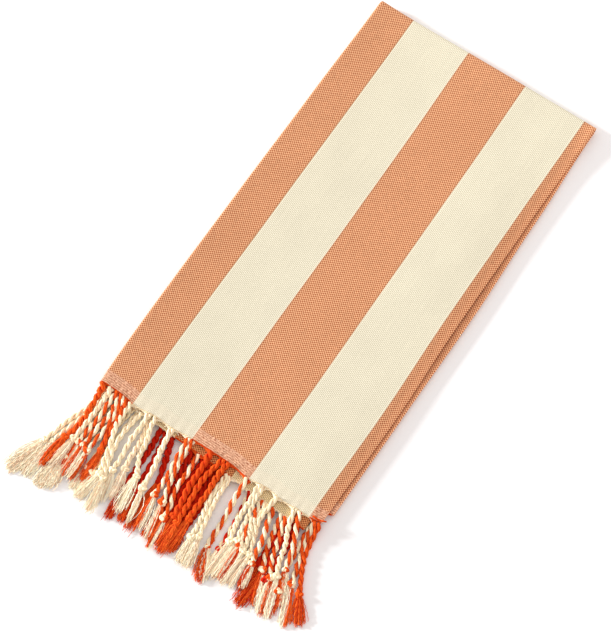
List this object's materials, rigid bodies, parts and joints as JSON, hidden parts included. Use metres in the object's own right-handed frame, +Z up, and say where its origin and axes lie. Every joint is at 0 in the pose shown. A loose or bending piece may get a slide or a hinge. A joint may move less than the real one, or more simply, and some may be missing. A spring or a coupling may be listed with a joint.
{
  "type": "folded hammam towel",
  "caption": "Small striped cotton towel with knotted fringes, folded lengthwise and crosswise and lying flat.",
  "frame": {"origin": "centre of the flat underside, on the surface that the folded towel lies on", "axes": "+Z up, +Y along the folded length towards the crosswise fold, +X across towards the free long edges; the fringes point to -Y"},
  "size_m": [0.2735, 0.5333, 0.0105],
  "materials": {
    "striped_cotton": "matt twill in broad orange and cream stripes",
    "fringe_yarn": "matt twisted cotton cords in orange and cream"
  },
  "bodies": {
    "root": {"towel_cloth": "striped_cotton", "fringe_upper": "fringe_yarn", "fringe_lower": "fringe_yarn"}
  },
  "joints": []
}
